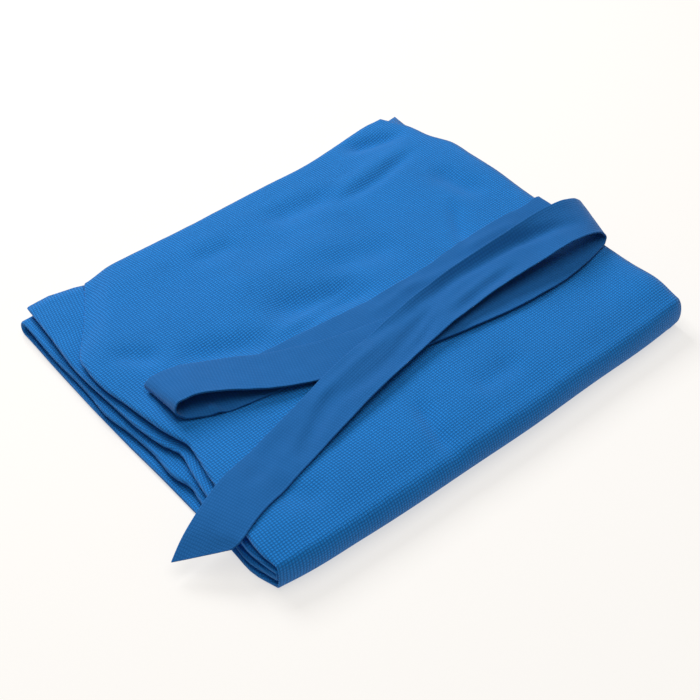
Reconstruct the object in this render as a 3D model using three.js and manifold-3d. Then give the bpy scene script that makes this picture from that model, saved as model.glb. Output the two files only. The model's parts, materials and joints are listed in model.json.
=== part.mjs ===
// A costume cape of royal-blue cloth, folded flat for storage, with its long neck tie laid on top.
//
// Millimetres, +Z up. X runs along the spine, which is the thick front fold, Y from the spine to
// the back edge, and the stack rests on the plane z = 0. The cloth is folded in two at the left end,
// which makes a leaf of two plies, and then in four, which makes leaf 4 at the bottom, leaf 3 above
// it, leaf 2, and leaf 1 on top. Leaf 4 turns into leaf 3 at the back fold. Leaf 3 turns into leaf 2,
// and leaf 4 into leaf 1, round the spine. The neck edge is the back edge of leaf 2.

import * as THREE from 'three';
import { mergeVertices } from 'three/addons/utils/BufferGeometryUtils.js';
import Module from 'manifold-3d';

const wasm = await Module();
wasm.setup();

// ---------------------------------------------------------------- driving dimensions

const STACK_LENGTH = 358; // bottom leaf, from its left fold to its side hems
const STACK_DEPTH = 282; // leaves, from the start of the spine folds to the start of the back fold
const LEAF_THICKNESS = 5.9; // two plies of cloth and the air between them
const PLY_THICKNESS = 2.1; // one puffed ply
const PIECE_GAP = 0.3; // clearance between neighbouring pieces

const TIE_WIDTH = 36; // two-ply strap of the cape's own cloth
const TIE_THICKNESS = 1.6;

const LEFT_SETBACKS = { 1: 12, 2: 8, 3: 3, 4: 0 }; // how far each leaf's fold lies inside leaf 4's
const RIGHT_SETBACKS = { 1: 0, 2: 2, 3: 1, 4: 0 };

const SPINE_END_INSET = 2; // the spine folds start and end this far inside leaf 4's ends

const TOP_CORNER_CUT_X = 43; // the slanted back left corner of leaf 1
const TOP_CORNER_CUT_Y = 66;
const TOP_LEAF_BACK_INSET = 2; // leaf 1's hem lies this far in front of the back fold's start
const NECK_CORNER_REACH = 6; // leaf 2's left corner reaches this far behind it

const NECKBAND_LEFT_X = -112;
const NECKBAND_RIGHT_X = 128;
const NECKBAND_WIDTH = 34;
const NECKBAND_INSET = 1; // between the neckband's folded edge and the start of the back fold
const NECKBAND_WALL = 1.1;
const NECK_SEAM_TAKE = 28; // how deep the neck edge reaches into the neckband

const SECOND_TIE_RUNS = 4; // hairpin runs of the tie that is tucked inside
const SECOND_TIE_RUN_LENGTH = 236;

const CURVE_SEGMENTS = 10;
const BLUE = 0x1c5fb4;

// ---------------------------------------------------------------- derived heights and places

const TIE_SLOT = TIE_THICKNESS + 2 * PIECE_GAP;
const LEAF_BASE = {
  4: 0,
  3: LEAF_THICKNESS + PIECE_GAP,
  2: 2 * (LEAF_THICKNESS + PIECE_GAP),
  1: 3 * LEAF_THICKNESS + 2 * PIECE_GAP + TIE_SLOT,
};
const STACK_HEIGHT = LEAF_BASE[1] + LEAF_THICKNESS;
const OPENING_PLANE_Z = LEAF_BASE[2] - PIECE_GAP / 2; // the cape opens between leaf 3 and leaf 2
const SPINE_Y = -STACK_DEPTH / 2;
const BACK_Y = STACK_DEPTH / 2;
const LEFT_X = -STACK_LENGTH / 2;
const RIGHT_X = STACK_LENGTH / 2;

const HIDDEN_TIE_Z = LEAF_BASE[2] + LEAF_THICKNESS + PIECE_GAP + TIE_THICKNESS / 2;
const LAID_TIE_Z = STACK_HEIGHT + PIECE_GAP + TIE_THICKNESS / 2;

// The first tie, as stations along its middle line: [x, y, height above the tie lying on the top
// leaf, lean of the cross line in degrees from +Y towards +X, and the width where it isn't the
// strap's own]. The places were chosen by hand, as a cord's are, from the end of the stack that
// each lies near, and one layer up where the strap lies on itself.
const EXIT_Y = -22;
const EXIT_RISE = HIDDEN_TIE_Z - LAID_TIE_Z;
const WRAP_X = RIGHT_X + 4;
const TIE_LAYER = TIE_THICKNESS + 0.2;
const TIE_ROUTE = [
  [RIGHT_X - 14, EXIT_Y, EXIT_RISE, 0],
  [RIGHT_X - 1, EXIT_Y, EXIT_RISE, 0],
  [WRAP_X - 1, EXIT_Y, EXIT_RISE + 1.4, 0],
  [WRAP_X, EXIT_Y, EXIT_RISE / 2, 0],
  [WRAP_X - 1.2, EXIT_Y, -0.8, 0],
  [RIGHT_X - 1, EXIT_Y, 0.1, 0],
  [RIGHT_X - 9, -23, 0, 0],
  [RIGHT_X - 49, -21, 0, 0],
  [60, -26, 0, 0],
  [0, -25, 0, 0],
  [-50, -21, 0, 3],
  [LEFT_X + 83, -17, 0, 7],
  [LEFT_X + 57, -12, 0.2, 12],
  [LEFT_X + 41, -5, 0.6, 15],
  [LEFT_X + 32.5, 1, 1.8, 14],
  [LEFT_X + 29.5, 4, 4.8, 10],
  [LEFT_X + 32, 5, 8.2, 10],
  [LEFT_X + 40, 3.5, 9.8, 14],
  [LEFT_X + 63, -6, 8.6, 21],
  [LEFT_X + 93, -21, TIE_LAYER + 3, 23],
  [-50, -35, TIE_LAYER + 0.4, 16],
  [0, -48, TIE_LAYER + 0.2, 8],
  [50, -57, TIE_LAYER + 0.2, 4],
  [RIGHT_X - 74, -62, TIE_LAYER, 0],
  [RIGHT_X - 29, -60, TIE_LAYER, -1],
  [RIGHT_X - 7, -57, TIE_LAYER + 0.6, 5],
  [RIGHT_X + 2.5, -55.5, TIE_LAYER + 2.8, 12],
  [RIGHT_X + 6, -54, 10, 16],
  [RIGHT_X + 2.5, -52.5, 16.6, 14],
  [RIGHT_X - 8, -50.5, 21, 9],
  [RIGHT_X - 24, -49, 22.5, 4],
  [RIGHT_X - 64, -46.5, 21, -1],
  [75, -45, 16, -4],
  [35, -49, 10, -7],
  [-5, -19 - TIE_WIDTH, 2 * TIE_LAYER + 2.2, -9],
  [-50, -28 - TIE_WIDTH, 2 * TIE_LAYER + 1.4, -11],
  [LEFT_X + 89, -37.5 - TIE_WIDTH, TIE_LAYER + 0.8, -13],
  [LEFT_X + 49, -47 - TIE_WIDTH, 0.2, -14],
  [LEFT_X + 11, -57 - TIE_WIDTH, 0, -17],
  [LEFT_X - 8, -62.5 - TIE_WIDTH, -2.8, -26, TIE_WIDTH + 0.2],
  [LEFT_X - 23, -68 - TIE_WIDTH, -10, -53, TIE_WIDTH + 1.2],
];
const WRAP_START = 0;
const WRAP_END = 5;
const LEFT_LOOP_START = 13;
const LEFT_LOOP_END = 17;
const RIGHT_LOOP_START = 24;
const RIGHT_LOOP_MIDDLE = 27;
const RIGHT_LOOP_END = 30;
const TAIL_END = TIE_ROUTE.length - 1;

// ---------------------------------------------------------------- helpers

const cape = new THREE.Group();

function addPiece(name, geometry) {
  const material = new THREE.MeshStandardMaterial({ color: BLUE, roughness: 0.9, metalness: 0 });
  const mesh = new THREE.Mesh(geometry, material);
  mesh.name = name;
  cape.add(mesh);
  return mesh;
}

function toSolid(geometry) {
  const bare = geometry.clone();
  bare.deleteAttribute('normal');
  bare.deleteAttribute('uv');
  const merged = mergeVertices(bare, 1e-4);
  return new wasm.Manifold(new wasm.Mesh({
    numProp: 3,
    vertProperties: new Float32Array(merged.attributes.position.array),
    triVerts: new Uint32Array(merged.index.array),
  }));
}

function toGeometry(solid) {
  const mesh = solid.getMesh();
  const geometry = new THREE.BufferGeometry();
  geometry.setAttribute('position', new THREE.BufferAttribute(mesh.vertProperties, 3));
  geometry.setIndex(new THREE.BufferAttribute(mesh.triVerts, 1));
  return geometry;
}

// A box between two corners.
function boxBetween(low, high) {
  const box = new THREE.BoxGeometry(high[0] - low[0], high[1] - low[1], high[2] - low[2]);
  return box.translate((low[0] + high[0]) / 2, (low[1] + high[1]) / 2, (low[2] + high[2]) / 2);
}

// Extrudes a shape drawn in X and Z along Y, from yLow to yHigh.
function extrudeAlongY(shape, yLow, yHigh) {
  const geometry = new THREE.ExtrudeGeometry(shape, {
    depth: yHigh - yLow,
    bevelEnabled: false,
    curveSegments: CURVE_SEGMENTS,
  });
  return geometry.rotateX(Math.PI / 2).translate(0, yHigh, 0);
}

// Extrudes a shape drawn in Y and Z along X, from xLow to xHigh.
function extrudeAlongX(shape, xLow, xHigh) {
  const geometry = new THREE.ExtrudeGeometry(shape, {
    depth: xHigh - xLow,
    bevelEnabled: false,
    curveSegments: CURVE_SEGMENTS,
  });
  return geometry.rotateX(Math.PI / 2).rotateZ(Math.PI / 2).translate(xLow, 0, 0);
}

// ---------------------------------------------------------------- leaves of the cape panel

const leafLeft = (leaf) => LEFT_X + LEFT_SETBACKS[leaf];
const leafRight = (leaf) => RIGHT_X - RIGHT_SETBACKS[leaf];

// Two plies joined by the round fold at the left end, seen from the front.
function leafProfile(leaf) {
  const base = LEAF_BASE[leaf];
  const outer = LEAF_THICKNESS / 2;
  const inner = outer - PLY_THICKNESS;
  const foldX = leafLeft(leaf) + outer;
  const foldZ = base + outer;
  const right = leafRight(leaf);
  const shape = new THREE.Shape();
  shape.moveTo(right, base);
  shape.lineTo(right, base + PLY_THICKNESS);
  shape.lineTo(foldX, base + PLY_THICKNESS);
  shape.absarc(foldX, foldZ, inner, -Math.PI / 2, Math.PI / 2, true);
  shape.lineTo(right, base + LEAF_THICKNESS - PLY_THICKNESS);
  shape.lineTo(right, base + LEAF_THICKNESS);
  shape.lineTo(foldX, base + LEAF_THICKNESS);
  shape.absarc(foldX, foldZ, outer, Math.PI / 2, 3 * Math.PI / 2, false);
  return shape;
}

// The slanted corner that leaf 1 loses at the back left.
function topCornerCut() {
  const corner = new THREE.Shape();
  corner.moveTo(leafLeft(1) - 1, BACK_Y + 1);
  corner.lineTo(leafLeft(1) - 1, BACK_Y - TOP_CORNER_CUT_Y);
  corner.lineTo(leafLeft(1), BACK_Y - TOP_CORNER_CUT_Y);
  corner.lineTo(leafLeft(1) + TOP_CORNER_CUT_X, BACK_Y + 1);
  const prism = new THREE.ExtrudeGeometry(corner, { depth: LEAF_THICKNESS + 2, bevelEnabled: false });
  return toSolid(prism.translate(0, 0, LEAF_BASE[1] - 1));
}

function addTopLeaf() {
  const leaf = toSolid(extrudeAlongY(leafProfile(1), SPINE_Y, BACK_Y - TOP_LEAF_BACK_INSET));
  addPiece('panel_leaf_1', toGeometry(leaf.subtract(topCornerCut())));
}

const neckbandFront = () => BACK_Y - NECKBAND_INSET - NECKBAND_WIDTH;
const seamHalfHeight = () => LEAF_THICKNESS / 2 - NECKBAND_WALL - 2 * PIECE_GAP;

// Leaf 2 is thin along the neck, where its edge lies in the neckband, and reaches back at the left.
function addNeckLeaf() {
  const base = LEAF_BASE[2];
  const middle = base + LEAF_THICKNESS / 2;
  const front = neckbandFront() - PIECE_GAP;
  const left = NECKBAND_LEFT_X - PIECE_GAP;
  const far = RIGHT_X + 1;
  const behind = BACK_Y + NECK_CORNER_REACH + 1;
  const seamEnd = neckbandFront() + NECK_SEAM_TAKE;
  let leaf = toSolid(extrudeAlongY(leafProfile(2), SPINE_Y, BACK_Y + NECK_CORNER_REACH));
  const cuts = [
    boxBetween([left, front, middle + seamHalfHeight()], [far, behind, base + LEAF_THICKNESS + 1]),
    boxBetween([left, front, base - 1], [far, behind, middle - seamHalfHeight()]),
    boxBetween([left, seamEnd, base - 1], [far, behind, base + LEAF_THICKNESS + 1]),
    boxBetween([NECKBAND_RIGHT_X, front, base - 1], [far, behind, base + LEAF_THICKNESS + 1]),
  ];
  for (const cut of cuts) {
    leaf = leaf.subtract(toSolid(cut));
  }
  addPiece('panel_leaf_2', toGeometry(leaf));
}

function addLowerLeaves() {
  for (const leaf of [3, 4]) {
    addPiece(`panel_leaf_${leaf}`, extrudeAlongY(leafProfile(leaf), SPINE_Y, BACK_Y));
  }
}

// ---------------------------------------------------------------- folds of the cape panel

// Half a ring in Y and Z. side is -1 for a fold that bulges towards the spine, 1 towards the back.
function halfRing(y, z, outerRadius, side) {
  const innerRadius = outerRadius - PLY_THICKNESS;
  const shape = new THREE.Shape();
  const start = -Math.PI / 2;
  const end = start + side * Math.PI;
  const clockwise = side < 0;
  shape.absarc(y, z, outerRadius, start, end, clockwise);
  shape.absarc(y, z, innerRadius, end, start, !clockwise);
  return shape;
}

// The four plies that turn round the spine: each is cut at the plane where the cape opens.
function addSpinePlies() {
  const outerMiddle = STACK_HEIGHT / 2;
  const plies = [
    { z: outerMiddle, radius: outerMiddle },
    { z: outerMiddle, radius: outerMiddle - LEAF_THICKNESS + PLY_THICKNESS },
    { z: OPENING_PLANE_Z, radius: LEAF_THICKNESS + PIECE_GAP / 2 },
    { z: OPENING_PLANE_Z, radius: PLY_THICKNESS + PIECE_GAP / 2 },
  ];
  const left = LEFT_X + SPINE_END_INSET;
  const right = RIGHT_X - SPINE_END_INSET;
  const y = SPINE_Y - PIECE_GAP;
  const below = [left - 1, y - STACK_HEIGHT, -1];
  const above = [right + 1, y + 1, STACK_HEIGHT + 1];
  plies.forEach(({ z, radius }, index) => {
    const ring = toSolid(extrudeAlongX(halfRing(y, z, radius, -1), left, right));
    const upperCut = boxBetween([below[0], below[1], OPENING_PLANE_Z - PIECE_GAP / 2], above);
    const lowerCut = boxBetween(below, [above[0], above[1], OPENING_PLANE_Z + PIECE_GAP / 2]);
    addPiece(`spine_ply_${index + 1}_lower`, toGeometry(ring.subtract(toSolid(upperCut))));
    addPiece(`spine_ply_${index + 1}_upper`, toGeometry(ring.subtract(toSolid(lowerCut))));
  });
}

function addBackFold() {
  const y = BACK_Y + PIECE_GAP;
  const z = LEAF_THICKNESS + PIECE_GAP / 2;
  const left = leafLeft(3) + LEAF_THICKNESS / 2;
  const right = leafRight(3);
  const outer = halfRing(y, z, LEAF_THICKNESS + PIECE_GAP / 2, 1);
  const inner = halfRing(y, z, PLY_THICKNESS + PIECE_GAP / 2, 1);
  addPiece('back_fold_outer_ply', extrudeAlongX(outer, left, right));
  addPiece('back_fold_inner_ply', extrudeAlongX(inner, left, right));
}

// ---------------------------------------------------------------- neckband and ties

// The neckband is a strip folded over the neck edge, closed at the back and open at the front.
function addNeckband() {
  const low = LEAF_BASE[2] + PIECE_GAP;
  const high = LEAF_BASE[2] + LEAF_THICKNESS;
  const front = neckbandFront();
  const back = front + NECKBAND_WIDTH;
  const pocketBack = front + NECK_SEAM_TAKE + PIECE_GAP;
  const shape = new THREE.Shape();
  shape.moveTo(front, low);
  shape.lineTo(back - NECKBAND_WALL, low);
  shape.quadraticCurveTo(back, low, back, (low + high) / 2);
  shape.quadraticCurveTo(back, high, back - NECKBAND_WALL, high);
  shape.lineTo(front, high);
  shape.lineTo(front, high - NECKBAND_WALL);
  shape.lineTo(pocketBack, high - NECKBAND_WALL);
  shape.lineTo(pocketBack, low + NECKBAND_WALL);
  shape.lineTo(front, low + NECKBAND_WALL);
  addPiece('neckband', extrudeAlongX(shape, NECKBAND_LEFT_X, NECKBAND_RIGHT_X));
}

// A flat run of tie between leaf 2 and leaf 1.
function flatRun(name, xLow, xHigh, yLow, yHigh) {
  const z = HIDDEN_TIE_Z;
  const low = [xLow, yLow, z - TIE_THICKNESS / 2];
  const high = [xHigh, yHigh, z + TIE_THICKNESS / 2];
  addPiece(name, boxBetween(low, high));
}

// The first tie leaves the neckband, turns along the side hems, and comes to its exit at the right.
function addHiddenRun() {
  const xHigh = TIE_ROUTE[WRAP_START][0] - PIECE_GAP;
  const xLow = NECKBAND_RIGHT_X - TIE_WIDTH / 2;
  const root = boxBetween(
    [xLow, neckbandFront(), HIDDEN_TIE_Z - TIE_THICKNESS / 2],
    [xHigh, BACK_Y - NECKBAND_INSET - PIECE_GAP, HIDDEN_TIE_Z + TIE_THICKNESS / 2],
  );
  const run = boxBetween(
    [xHigh - TIE_WIDTH, EXIT_Y - TIE_WIDTH / 2, HIDDEN_TIE_Z - TIE_THICKNESS / 2],
    [xHigh, neckbandFront() + 1, HIDDEN_TIE_Z + TIE_THICKNESS / 2],
  );
  addPiece('tie_1_hidden_run', toGeometry(toSolid(root).add(toSolid(run))));
}

// The second tie leaves the neckband too, and lies in hairpin runs in front of it.
function addSecondTie() {
  const xHigh = NECKBAND_RIGHT_X - TIE_WIDTH / 2 - PIECE_GAP;
  const xLow = xHigh - SECOND_TIE_RUN_LENGTH;
  const pitch = TIE_WIDTH + PIECE_GAP;
  const back = BACK_Y - NECKBAND_INSET - PIECE_GAP;
  for (let run = 0; run < SECOND_TIE_RUNS; run += 1) {
    const yHigh = back - run * pitch;
    flatRun(`tie_2_run_${run + 1}`, xLow, xHigh, yHigh - TIE_WIDTH, yHigh);
  }
}

// One edge of the strap: side is 1 for the back edge and -1 for the front edge.
function tieEdge(side) {
  const points = TIE_ROUTE.map(([x, y, rise, lean, width = TIE_WIDTH]) => {
    const angle = THREE.MathUtils.degToRad(lean);
    const reach = side * width / 2;
    return new THREE.Vector3(
      x + reach * Math.sin(angle),
      y + reach * Math.cos(angle),
      LAID_TIE_Z + rise,
    );
  });
  return new THREE.CatmullRomCurve3(points, false, 'centripetal');
}

const backEdge = tieEdge(1);
const frontEdge = tieEdge(-1);

// The strap's cross section at a place along the route: four corners, anticlockwise from behind.
function tieSection(t) {
  const back = backEdge.getPoint(t);
  const front = frontEdge.getPoint(t);
  const along = backEdge.getTangent(t).add(frontEdge.getTangent(t)).normalize();
  const across = new THREE.Vector3().subVectors(back, front).normalize();
  const up = new THREE.Vector3().crossVectors(across, along).normalize();
  const half = up.multiplyScalar(TIE_THICKNESS / 2);
  return [
    front.clone().sub(half),
    back.clone().sub(half),
    back.clone().add(half),
    front.clone().add(half),
  ];
}

// The strap between two stations, shortened at each end by its share of the gap to the next piece.
function strapGeometry(firstStation, lastStation, stepsPerStation) {
  const span = 1 / TAIL_END;
  const trim = (t) => {
    const step = span / 100;
    const speed = backEdge.getPoint(t).distanceTo(backEdge.getPoint(Math.min(t + step, 1))) / step;
    return PIECE_GAP / 2 / Math.max(speed, 1);
  };
  const start = firstStation * span + (firstStation > 0 ? trim(firstStation * span) : 0);
  const end = lastStation * span - (lastStation < TAIL_END ? trim(lastStation * span) : 0);
  const steps = (lastStation - firstStation) * stepsPerStation;
  const positions = [];
  const indices = [];
  for (let step = 0; step <= steps; step += 1) {
    const section = tieSection(start + (end - start) * step / steps);
    section.forEach((corner) => positions.push(corner.x, corner.y, corner.z));
  }
  for (let step = 0; step < steps; step += 1) {
    for (let side = 0; side < 4; side += 1) {
      const a = step * 4 + side;
      const b = step * 4 + (side + 1) % 4;
      indices.push(a, b + 4, b, a, a + 4, b + 4);
    }
  }
  const last = steps * 4;
  indices.push(0, 1, 2, 0, 2, 3);
  indices.push(last, last + 2, last + 1, last, last + 3, last + 2);
  const geometry = new THREE.BufferGeometry();
  geometry.setAttribute('position', new THREE.Float32BufferAttribute(positions, 3));
  geometry.setIndex(indices);
  return geometry;
}

function addFirstTie() {
  addPiece('tie_1_end_wrap', strapGeometry(WRAP_START, WRAP_END, 4));
  addPiece('tie_1_bottom_strand', strapGeometry(WRAP_END, LEFT_LOOP_START, 3));
  addPiece('tie_1_left_loop', strapGeometry(LEFT_LOOP_START, LEFT_LOOP_END, 4));
  addPiece('tie_1_middle_strand', strapGeometry(LEFT_LOOP_END, RIGHT_LOOP_START, 3));
  addPiece('tie_1_right_loop_lower', strapGeometry(RIGHT_LOOP_START, RIGHT_LOOP_MIDDLE, 4));
  addPiece('tie_1_right_loop_upper', strapGeometry(RIGHT_LOOP_MIDDLE, RIGHT_LOOP_END, 4));
  addPiece('tie_1_tail', strapGeometry(RIGHT_LOOP_END, TAIL_END, 3));
}

// ---------------------------------------------------------------- assembly

addLowerLeaves();
addNeckLeaf();
addTopLeaf();
addSpinePlies();
addBackFold();
addNeckband();
addHiddenRun();
addSecondTie();
addFirstTie();

// The origin is the middle of the whole folded cape, on the surface that it rests on.
const bounds = new THREE.Box3().setFromObject(cape);
const centre = bounds.getCenter(new THREE.Vector3());
cape.position.set(-centre.x, -centre.y, -bounds.min.z);

export default cape;
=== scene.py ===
"""Looks of a folded costume cape: one panel of royal-blue cloth in eight plies, its neckband and its ties.

Sizes are in millimetres in the stack's own frame, whose origin is the middle of the folded stack on the
table: X runs along the spine fold, Y from the spine to the back edge, and Z up. Mesh points are written
in metres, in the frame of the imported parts.
"""

import json
import logging
import math
from dataclasses import dataclass, field
from enum import Enum
from typing import Callable, Sequence

import bmesh
import bpy
import numpy as np
from mathutils import Vector
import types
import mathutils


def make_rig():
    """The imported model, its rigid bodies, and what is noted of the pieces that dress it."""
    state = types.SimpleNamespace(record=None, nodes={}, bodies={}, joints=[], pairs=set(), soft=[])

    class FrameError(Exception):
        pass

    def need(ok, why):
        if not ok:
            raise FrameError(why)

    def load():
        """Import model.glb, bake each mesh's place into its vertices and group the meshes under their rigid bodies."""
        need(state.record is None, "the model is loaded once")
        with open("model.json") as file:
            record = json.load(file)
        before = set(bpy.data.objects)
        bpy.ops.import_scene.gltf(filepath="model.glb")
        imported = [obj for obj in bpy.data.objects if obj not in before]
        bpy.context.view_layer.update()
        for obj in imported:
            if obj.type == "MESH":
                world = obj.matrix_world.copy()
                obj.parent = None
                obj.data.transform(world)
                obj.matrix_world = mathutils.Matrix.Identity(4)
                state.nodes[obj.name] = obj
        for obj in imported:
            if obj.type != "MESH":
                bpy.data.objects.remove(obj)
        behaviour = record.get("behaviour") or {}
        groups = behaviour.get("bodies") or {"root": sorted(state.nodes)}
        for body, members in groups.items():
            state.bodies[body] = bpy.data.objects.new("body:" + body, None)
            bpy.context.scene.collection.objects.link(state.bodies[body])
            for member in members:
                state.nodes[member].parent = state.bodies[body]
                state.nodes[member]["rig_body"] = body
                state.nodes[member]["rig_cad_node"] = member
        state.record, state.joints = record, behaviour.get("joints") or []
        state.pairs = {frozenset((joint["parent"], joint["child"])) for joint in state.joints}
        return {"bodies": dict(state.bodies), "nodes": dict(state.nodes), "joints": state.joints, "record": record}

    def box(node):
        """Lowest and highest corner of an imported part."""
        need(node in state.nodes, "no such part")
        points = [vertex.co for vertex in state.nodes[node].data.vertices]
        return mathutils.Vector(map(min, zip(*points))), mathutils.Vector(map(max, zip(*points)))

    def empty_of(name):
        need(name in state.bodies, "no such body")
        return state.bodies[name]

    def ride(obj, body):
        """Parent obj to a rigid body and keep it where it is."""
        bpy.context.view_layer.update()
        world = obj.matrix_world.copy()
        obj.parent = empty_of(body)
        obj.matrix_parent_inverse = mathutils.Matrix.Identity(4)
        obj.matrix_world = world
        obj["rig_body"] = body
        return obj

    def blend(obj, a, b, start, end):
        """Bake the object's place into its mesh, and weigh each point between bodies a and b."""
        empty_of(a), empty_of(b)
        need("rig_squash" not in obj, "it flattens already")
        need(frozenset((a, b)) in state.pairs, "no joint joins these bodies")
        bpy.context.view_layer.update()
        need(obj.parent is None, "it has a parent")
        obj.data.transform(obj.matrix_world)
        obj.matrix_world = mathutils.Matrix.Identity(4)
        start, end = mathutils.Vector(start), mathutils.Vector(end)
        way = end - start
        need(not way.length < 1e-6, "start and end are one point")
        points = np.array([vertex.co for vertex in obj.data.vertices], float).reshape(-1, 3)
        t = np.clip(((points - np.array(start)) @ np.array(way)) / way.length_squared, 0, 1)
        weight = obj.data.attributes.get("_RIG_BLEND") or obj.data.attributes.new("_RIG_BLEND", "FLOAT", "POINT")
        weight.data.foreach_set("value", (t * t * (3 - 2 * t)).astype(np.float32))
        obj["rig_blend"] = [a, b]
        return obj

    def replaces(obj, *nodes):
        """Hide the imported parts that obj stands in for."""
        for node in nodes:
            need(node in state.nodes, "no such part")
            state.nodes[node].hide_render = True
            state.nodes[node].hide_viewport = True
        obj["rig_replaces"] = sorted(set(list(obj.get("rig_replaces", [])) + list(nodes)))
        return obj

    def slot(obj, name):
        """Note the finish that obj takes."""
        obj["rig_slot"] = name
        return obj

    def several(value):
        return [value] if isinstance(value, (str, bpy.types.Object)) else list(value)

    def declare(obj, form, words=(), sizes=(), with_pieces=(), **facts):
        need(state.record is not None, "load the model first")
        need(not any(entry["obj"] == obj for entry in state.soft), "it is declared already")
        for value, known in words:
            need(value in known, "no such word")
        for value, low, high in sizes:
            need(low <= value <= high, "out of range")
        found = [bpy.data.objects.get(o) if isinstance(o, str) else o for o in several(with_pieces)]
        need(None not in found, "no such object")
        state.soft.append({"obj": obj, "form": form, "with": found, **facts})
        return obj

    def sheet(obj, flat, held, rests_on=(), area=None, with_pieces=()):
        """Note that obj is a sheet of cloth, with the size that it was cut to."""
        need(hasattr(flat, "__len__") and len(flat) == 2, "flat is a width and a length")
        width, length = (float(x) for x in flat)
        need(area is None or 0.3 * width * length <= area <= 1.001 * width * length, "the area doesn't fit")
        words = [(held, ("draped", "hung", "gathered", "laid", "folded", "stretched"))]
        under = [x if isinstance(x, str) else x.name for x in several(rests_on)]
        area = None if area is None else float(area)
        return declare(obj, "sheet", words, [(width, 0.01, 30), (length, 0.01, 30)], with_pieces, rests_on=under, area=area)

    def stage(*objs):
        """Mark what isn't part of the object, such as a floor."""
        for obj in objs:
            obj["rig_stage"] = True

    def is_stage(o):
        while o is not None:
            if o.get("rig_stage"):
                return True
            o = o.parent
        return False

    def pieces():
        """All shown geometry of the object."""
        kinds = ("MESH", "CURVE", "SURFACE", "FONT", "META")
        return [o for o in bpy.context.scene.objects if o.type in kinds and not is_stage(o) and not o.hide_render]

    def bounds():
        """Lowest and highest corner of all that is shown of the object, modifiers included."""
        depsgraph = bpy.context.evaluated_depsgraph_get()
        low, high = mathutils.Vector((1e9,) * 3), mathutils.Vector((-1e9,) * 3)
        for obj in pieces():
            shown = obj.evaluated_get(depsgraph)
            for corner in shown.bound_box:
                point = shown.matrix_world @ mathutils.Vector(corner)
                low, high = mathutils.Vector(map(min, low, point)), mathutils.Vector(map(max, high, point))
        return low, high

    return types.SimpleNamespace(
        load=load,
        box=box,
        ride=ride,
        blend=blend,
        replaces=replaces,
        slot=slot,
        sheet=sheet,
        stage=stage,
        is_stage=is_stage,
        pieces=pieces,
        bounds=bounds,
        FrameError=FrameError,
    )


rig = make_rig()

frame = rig.load()
cad_low, cad_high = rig.bounds()

log = logging.getLogger("cape")

MM = 0.001
Array = np.ndarray
Point = tuple[float, float]
Colour = tuple[float, float, float]
Socket = bpy.types.NodeSocket
Depth = Callable[[Array], Array | float]


# ------------------------------------------------------------------------------ small mathematics

def ease(t: Array) -> Array:
    """Smooth step from 0 to 1 as t goes from 0 to 1."""
    t = np.clip(t, 0.0, 1.0)
    return t * t * (3.0 - 2.0 * t)


def mix(a: Array, b: Array, t: Array) -> Array:
    """Straight mix from a to b as t goes from 0 to 1."""
    return a + (b - a) * t


def unit(vectors: Array) -> Array:
    """Rows of vectors made one unit long."""
    return vectors / np.linalg.norm(vectors, axis=1)[:, None]


class Curve:
    """A smooth curve through a few points, as values of one growing parameter."""

    def __init__(self, at: Sequence[float], values: Sequence) -> None:
        """Keeps the points and works out the slope at each.

        Args:
            at: The growing parameter of each point.
            values: The value at each point, a number or a row of numbers.
        """
        self.at = np.array(at, float)
        self.values = np.array(values, float)
        self.slopes = np.gradient(self.values, self.at, axis=0)

    def __call__(self, t: Array) -> Array:
        """The curve's value at t, held at its ends.

        Args:
            t: Parameters, of any shape.

        Returns:
            Values of the same shape, with one more axis where the points are rows.
        """
        t = np.clip(t, self.at[0], self.at[-1])
        i = np.clip(np.searchsorted(self.at, t, side="right") - 1, 0, len(self.at) - 2)
        step = self.at[i + 1] - self.at[i]
        f = (t - self.at[i]) / step
        if self.values.ndim > 1:
            step, f = step[..., None], f[..., None]
        a, b = self.values[i], self.values[i + 1]
        u, v = self.slopes[i] * step, self.slopes[i + 1] * step
        return (
            a * (2 * f**3 - 3 * f**2 + 1)
            + u * (f**3 - 2 * f**2 + f)
            + b * (3 * f**2 - 2 * f**3)
            + v * (f**3 - f**2)
        )


def outline(*points: Point) -> Curve:
    """A smooth outline x(y) through a few (y, x) points, listed from the front to the back."""
    return Curve([p[0] for p in points], [p[1] for p in points])


def ripple(x: Array, y: Array, size: float, seed: int) -> Array:
    """Soft irregular waves of about unit height.

    Args:
        x: Places along one axis, in millimetres.
        y: Places along the other axis, in millimetres.
        size: The usual distance between crests, in millimetres.
        seed: Chooses the pattern.

    Returns:
        Heights between about -1 and 1.
    """
    random = np.random.default_rng(seed)
    waves = 6
    total = np.zeros(np.broadcast(x, y).shape)
    for _ in range(waves):
        angle, phase, stretch = random.random(3)
        length = size * (0.7 + 0.8 * stretch)
        along = x * math.cos(angle * math.pi) + y * math.sin(angle * math.pi)
        total = total + np.sin(2 * math.pi * (along / length + phase))
    return total / math.sqrt(waves)


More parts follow.
